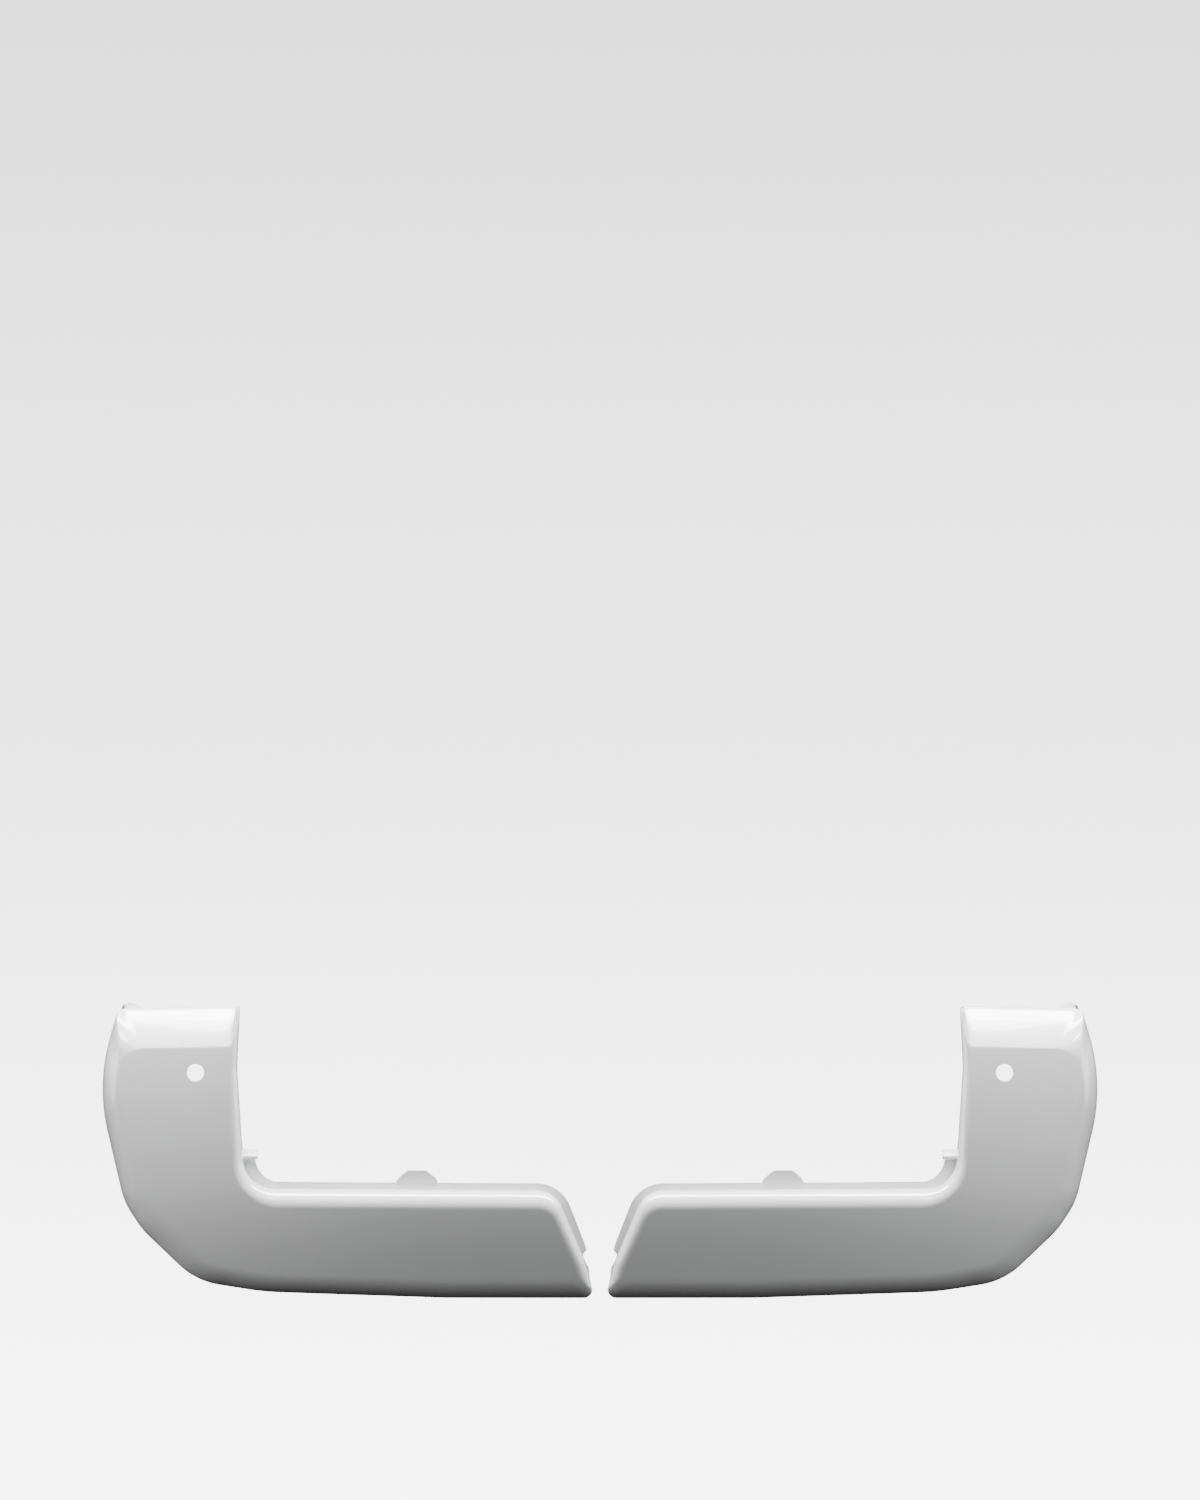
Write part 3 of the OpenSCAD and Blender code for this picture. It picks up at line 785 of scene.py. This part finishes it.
def release_film(look):
    """Red polyethylene release film: satin, embossed with a fine cross-hatch so that
    it peels, and uneven in its red."""
    material, tree, shader = new_material("polyethylene_release_film", {
        "Roughness": 0.34, "IOR": 1.51, "Specular IOR Level": 0.5})
    place = add_node(tree, "ShaderNodeTexCoord").outputs["Object"]
    red = tuple(look.film_red)
    two_tone(tree, shader, place, 0.03, (tuple(c * 0.82 for c in red), red))
    # the hatch is 1.2 mm apart, twice the real pitch
    waves = []
    for way in ("X", "Z"):
        waves.append(add_node(tree, "ShaderNodeTexWave", {
            "bands_direction": way, "Scale": 1 / (look.hatch_pitch * 20) * math.pi,
            "Distortion": 0.0}, Vector=place).outputs[1])
    both = add_node(tree, "ShaderNodeMath", {"operation": "MAXIMUM"})
    for k, wave in enumerate(waves):
        tree.links.new(wave, both.inputs[k])
    bump = add_node(tree, "ShaderNodeBump", {"Strength": 0.3, "Distance": 0.0001},
                    Height=both.outputs[0])
    tree.links.new(bump.outputs[0], shader.inputs["Normal"])
    return material


# ---- settings ----
class CoverShellSettings(PropertyGroup):
    """Finish of the two shells."""
    softness: FloatProperty(
        name="Edge softness", description="Radius that the mould leaves on the shell's edges",
        default=0.0006, min=0.0002, max=0.0012, unit="LENGTH", precision=4)
    white: FloatVectorProperty(
        name="White", description="Colour of the gloss paint", default=linear("#EBECEC"),
        size=3, min=0, max=1, subtype="COLOR")
    peel_size: FloatProperty(
        name="Orange peel", description="Wavelength of the lacquer's orange peel",
        default=0.004, min=0.001, max=0.02, unit="LENGTH", precision=4)
    peel_depth: FloatProperty(
        name="Peel depth", description="Depth of the lacquer's orange peel",
        default=0.00004, min=0, max=0.0005, unit="LENGTH", precision=5)


class CoverTapeSettings(PropertyGroup):
    """Finish of the foam tape."""
    foam_grey: FloatVectorProperty(
        name="Foam", description="Colour of the acrylic foam", default=linear("#4A4C4E"),
        size=3, min=0, max=1, subtype="COLOR")
    cell_size: FloatProperty(
        name="Cell size", description="Size of the foam's cells, drawn coarse enough to show",
        default=0.0012, min=0.0002, max=0.005, unit="LENGTH", precision=4)


class CoverLinerSettings(PropertyGroup):
    """Finish and shape of the release liners."""
    film_red: FloatVectorProperty(
        name="Film", description="Colour of the release film", default=linear("#C22F2B"),
        size=3, min=0, max=1, subtype="COLOR")
    hatch_pitch: FloatProperty(
        name="Hatch pitch", description="Spacing of the film's embossed hatch",
        default=0.0012, min=0.0004, max=0.004, unit="LENGTH", precision=4)
    curl: FloatProperty(
        name="Pull tab curl", description="How far a pull tab's end stands off",
        default=0.003, min=0, max=0.006, unit="LENGTH", precision=4)


class CoverStudioSettings(PropertyGroup):
    """Stage, lights and camera."""
    floor_drop: FloatProperty(
        name="Floor drop", description="How far the floor lies below the covers",
        default=0.35, min=0, max=2, unit="LENGTH")
    sweep_radius: FloatProperty(
        name="Backdrop radius", description="Distance of the round backdrop",
        default=3.2, min=1.5, max=8, unit="LENGTH")
    camera_distance: FloatProperty(
        name="Camera distance", description="Distance of the camera from the middle of the pair",
        default=28.0, min=4, max=40, unit="LENGTH")
    camera_height: FloatProperty(
        name="Camera height",
        description="Height of the level camera above the covers' lowest edge",
        default=0.767, min=0, max=2, unit="LENGTH")
    view_height: FloatProperty(
        name="View height", description="Height of the view at the covers",
        default=2.1, min=0.5, max=5, unit="LENGTH")
    # the three backdrop colours are the paper's painted glow, from bright at the floor to dim at
    # the top
    backdrop_low: FloatVectorProperty(
        name="Backdrop, low", description="Colour of the backdrop at the floor",
        default=(1.0, 1.0, 1.0), size=3, min=0, max=1, subtype="COLOR")
    backdrop_middle: FloatVectorProperty(
        name="Backdrop, middle", description="Colour of the backdrop above the covers",
        default=(0.53, 0.53, 0.53), size=3, min=0, max=1, subtype="COLOR")
    backdrop_high: FloatVectorProperty(
        name="Backdrop, high", description="Colour of the backdrop at the top",
        default=(0.275, 0.275, 0.275), size=3, min=0, max=1, subtype="COLOR")
    top_light: FloatProperty(
        name="Top light", description="Power of the softbox above",
        default=290.0, min=0, max=2000)
    side_light: FloatProperty(
        name="Side light", description="Power of the two soft fills at the sides",
        default=38.0, min=0, max=1000)
    column_light: FloatProperty(
        name="Column lights", description="Power of the two gridded softboxes on the columns",
        default=0.55, min=0, max=100)
    corner_light: FloatProperty(
        name="Corner lights", description="Power of the four small lamps for the rounded corners",
        default=12.0, min=0, max=500)


# ---- operators ----
class COVERS_OT_shells(Operator):
    """Build the two moulded shells with their sensor holes, tabs and hooks"""
    bl_idname = "covers.shells"
    bl_label = "Shells"

    def execute(self, context):
        look = context.scene.cover_shells
        mould = shell_mould(look.softness / MM)
        materials = (painted_abs(look), bare_abs())
        for side in SIDES:
            shell = make_piece(f"{side}_shell", mould, side, materials, f"{side}_cover",
                               f"{side}_skin")
            must_match(shell, f"{side}_skin", 0.003)
        return {"FINISHED"}


class COVERS_OT_tapes(Operator):
    """Lay the runs of foam tape inside both shells"""
    bl_idname = "covers.tapes"
    bl_label = "Foam tape"

    def execute(self, context):
        foam = acrylic_foam(context.scene.cover_tapes)
        for run in RUNS:
            mould = tape_mould(run)
            for side in SIDES:
                node = f"{side}_{run}_tape"
                tape = make_piece(f"{side}_{run}_foam", mould, side, (foam,), f"{side}_cover",
                                  node)
                must_match(tape, node, 0.006)
        return {"FINISHED"}


class COVERS_OT_liners(Operator):
    """Put the release liners, with their curled pull tabs, on the foam tape"""
    bl_idname = "covers.liners"
    bl_label = "Release liners"

    def execute(self, context):
        look = context.scene.cover_liners
        film = release_film(look)
        for run in RUNS:
            mould = liner_mould(run, look.curl / MM)
            for side in SIDES:
                node = f"{side}_{run}_liner"
                liner = make_piece(f"{side}_{run}_film", mould, side, (film,), node,
                                   node)
                must_match(liner, node, 0.006)
        return {"FINISHED"}


def studio_paper(look):
    """Matt studio paper with a painted glow: it gives off its own light, graded from bright at the
    floor to dim at the top, in place of the studio light's fall-off. It is only seen from inside,
    so that the near side never hides the covers."""
    material, tree, shader = new_material("glowing_graded_paper", {
        "Roughness": 1.0, "Specular IOR Level": 0.0, "Base Color": (*linear("#4A4A4A"), 1)})
    place = add_node(tree, "ShaderNodeTexCoord").outputs["Object"]
    height = add_node(tree, "ShaderNodeSeparateXYZ", Vector=place)
    # painted glow: the paper's own light is brightest at the floor and dims upwards, standing in
    # for the fall-off of the studio light
    share = add_node(tree, "ShaderNodeMapRange", {
        "From Min": -look.floor_drop, "From Max": 2.1, "To Min": 0.0, "To Max": 1.0},
        Value=height.outputs["Z"])
    ramp = add_node(tree, "ShaderNodeValToRGB", Fac=share.outputs[0])
    middle = ramp.color_ramp.elements.new(0.4)
    middle.color = (*look.backdrop_middle, 1)
    ramp.color_ramp.elements[0].color = (*look.backdrop_low, 1)
    ramp.color_ramp.elements[-1].color = (*look.backdrop_high, 1)
    tree.links.new(ramp.outputs[0], shader.inputs["Emission Color"])
    shader.inputs["Emission Strength"].default_value = BACKDROP_GLOW
    seen = add_node(tree, "ShaderNodeNewGeometry").outputs["Backfacing"]
    clear = add_node(tree, "ShaderNodeBsdfTransparent")
    mix = add_node(tree, "ShaderNodeMixShader", Fac=seen)
    tree.links.new(shader.outputs[0], mix.inputs[1])
    tree.links.new(clear.outputs[0], mix.inputs[2])
    output = next(n for n in tree.nodes if n.type == "OUTPUT_MATERIAL")
    tree.links.new(mix.outputs[0], output.inputs["Surface"])
    return material


def round_backdrop(look):
    """A floor that curves up into a round wall, as one smooth surface."""
    low, top, radius, cove, steps = -look.floor_drop, 4.5, look.sweep_radius, 1.4, 16
    path = [(0.05, low), (radius * 0.3, low), (radius - cove, low)]
    for k in range(1, steps + 1):
        a = math.pi / 2 * k / steps
        path.append((radius - cove + cove * math.sin(a), low + cove * (1 - math.cos(a))))
    path.append((radius, top))
    around = 96
    bm = bmesh.new()
    rings = []
    for r, z in path:
        rings.append([bm.verts.new((r * math.cos(t), r * math.sin(t), z))
                      for t in (2 * math.pi * k / around for k in range(around))])
    bm.faces.new(rings[0])
    for a, b in zip(rings, rings[1:]):
        for k in range(around):
            m = (k + 1) % around
            bm.faces.new((a[m], a[k], b[k], b[m]))
    for f in bm.faces:
        f.smooth = True
    mesh = bpy.data.meshes.new("studio_backdrop")
    bm.to_mesh(mesh)
    bm.free()
    mesh.materials.append(studio_paper(look))
    backdrop = bpy.data.objects.new("studio_backdrop", mesh)
    bpy.context.scene.collection.objects.link(backdrop)
    backdrop.visible_diffuse = False
    backdrop.visible_glossy = False
    backdrop.visible_shadow = False


def add_softbox(name, place, target, size, power, gloss=1.0, spread=180):
    """An area light at a place, turned towards a target. gloss is how much it shines
    in the paint, and spread is its grid's opening in degrees."""
    light = bpy.data.lights.new(name, "AREA")
    light.shape, light.energy, light.specular_factor = "RECTANGLE", power, gloss
    light.spread = math.radians(spread)
    light.size, light.size_y = size
    lamp = bpy.data.objects.new(name, light)
    bpy.context.scene.collection.objects.link(lamp)
    way = Vector(target) - Vector(place)
    lamp.location = place
    lamp.rotation_euler = way.to_track_quat("-Z", "Y").to_euler()


def studio_sky(look):
    """Soft light from all round: bright overhead, much dimmer at the level of the covers
    and dark below. The camera sees the backdrop's own grey in its place."""
    world = bpy.data.worlds.new("studio_sky")
    bpy.context.scene.world = world
    world.use_nodes = True
    tree = world.node_tree
    tree.nodes.clear()
    way = add_node(tree, "ShaderNodeTexCoord").outputs["Generated"]
    up = add_node(tree, "ShaderNodeSeparateXYZ", Vector=way)
    share = add_node(tree, "ShaderNodeMapRange", {"From Min": -1.0, "From Max": 1.0},
                     Value=up.outputs["Z"])
    ramp = add_node(tree, "ShaderNodeValToRGB", Fac=share.outputs[0])
    steps = ((0.0, 0.02), (0.4, 0.03), (0.5, 0.18), (0.66, 0.5), (1.0, 0.75))
    elements = ramp.color_ramp.elements
    while len(elements) < len(steps):
        elements.new(0.5)
    for element, (at, grey) in zip(elements, steps):
        element.position, element.color = at, (grey, grey, grey * 1.01, 1)
    light = add_node(tree, "ShaderNodeBackground", {"Strength": 1.0}, Color=ramp.outputs[0])
    plain = add_node(tree, "ShaderNodeBackground", {
        "Color": (*look.backdrop_high, 1), "Strength": BACKDROP_GLOW})
    seen = add_node(tree, "ShaderNodeLightPath").outputs["Is Camera Ray"]
    mix = add_node(tree, "ShaderNodeMixShader", Fac=seen)
    tree.links.new(light.outputs[0], mix.inputs[1])
    tree.links.new(plain.outputs[0], mix.inputs[2])
    add_node(tree, "ShaderNodeOutputWorld", Surface=mix.outputs[0])


def studio_lights(look):
    """One softbox above, a fill at each side, a grid on each column, and corner lamps."""
    add_softbox("top_softbox", (0, -0.12, 2.4), (0, -0.08, 0.2), (2.8, 0.5),
                look.top_light, gloss=0.06)
    for name, x in (("left_fill", -3.0), ("right_fill", 3.0)):
        add_softbox(name, (x, -0.6, 0.7), (0, 0, 0.2), (1.6, 1.6), look.side_light, gloss=0.2)
    for name, x in (("left_column_grid", -0.6), ("right_column_grid", 0.6)):
        add_softbox(name, (x, -0.85, 1.15), (x, 0, 0.37), (0.5, 0.12),
                    look.column_light, gloss=0, spread=30)
    for name, x in (("left_outer_lamp", -2.0), ("left_inner_lamp", -0.83),
                    ("right_inner_lamp", 0.83), ("right_outer_lamp", 2.0)):
        add_softbox(name, (x, -0.42, 2.07), (x * 0.3, -0.1, 0.37), (0.3, 0.3),
                    look.corner_light)


class COVERS_OT_studio(Operator):
    """Set up the floor and backdrop, the soft light and the camera"""
    bl_idname = "covers.studio"
    bl_label = "Studio"

    def execute(self, context):
        scene, look = context.scene, context.scene.cover_studio
        round_backdrop(look)
        studio_sky(look)
        studio_lights(look)
        camera = bpy.data.cameras.new("camera")
        camera.sensor_fit, camera.sensor_height = "VERTICAL", 24.0
        camera.lens = camera.sensor_height * (look.camera_distance + VIEW_PLANE) / look.view_height
        camera.clip_start, camera.clip_end = 0.1, 100.0
        eye = bpy.data.objects.new("camera", camera)
        eye.location = (0, -look.camera_distance, look.camera_height)
        eye.rotation_euler = (math.pi / 2, 0, 0)
        scene.collection.objects.link(eye)
        scene.camera = eye
        return {"FINISHED"}


class COVERS_PT_panel(Panel):
    """Lists the pieces of the covers and their settings"""
    bl_idname = "COVERS_PT_panel"
    bl_label = "Bumper Corner Covers"
    bl_space_type = "VIEW_3D"
    bl_region_type = "UI"
    bl_category = "Covers"

    def draw(self, context):
        for operator, group in BUILD_ORDER:
            box = self.layout.box()
            box.operator(operator.bl_idname)
            settings = getattr(context.scene, group)
            for name in settings.bl_rna.properties.keys():
                if name not in ("rna_type", "name"):
                    box.prop(settings, name)


BUILD_ORDER = (
    (COVERS_OT_shells, "cover_shells"),
    (COVERS_OT_tapes, "cover_tapes"),
    (COVERS_OT_liners, "cover_liners"),
    (COVERS_OT_studio, "cover_studio"),
)
SETTINGS = {
    "cover_shells": CoverShellSettings,
    "cover_tapes": CoverTapeSettings,
    "cover_liners": CoverLinerSettings,
    "cover_studio": CoverStudioSettings,
}


def register():
    for group, settings in SETTINGS.items():
        bpy.utils.register_class(settings)
        setattr(bpy.types.Scene, group, PointerProperty(type=settings))
    for operator, _ in BUILD_ORDER:
        bpy.utils.register_class(operator)
    bpy.utils.register_class(COVERS_PT_panel)


def unregister():
    bpy.utils.unregister_class(COVERS_PT_panel)
    for operator, _ in reversed(BUILD_ORDER):
        bpy.utils.unregister_class(operator)
    for group, settings in SETTINGS.items():
        delattr(bpy.types.Scene, group)
        bpy.utils.unregister_class(settings)


def main():
    register()
    bpy.ops.covers.shells()
    bpy.ops.covers.tapes()
    bpy.ops.covers.liners()
    bpy.ops.covers.studio()


if __name__ == "__main__":
    main()
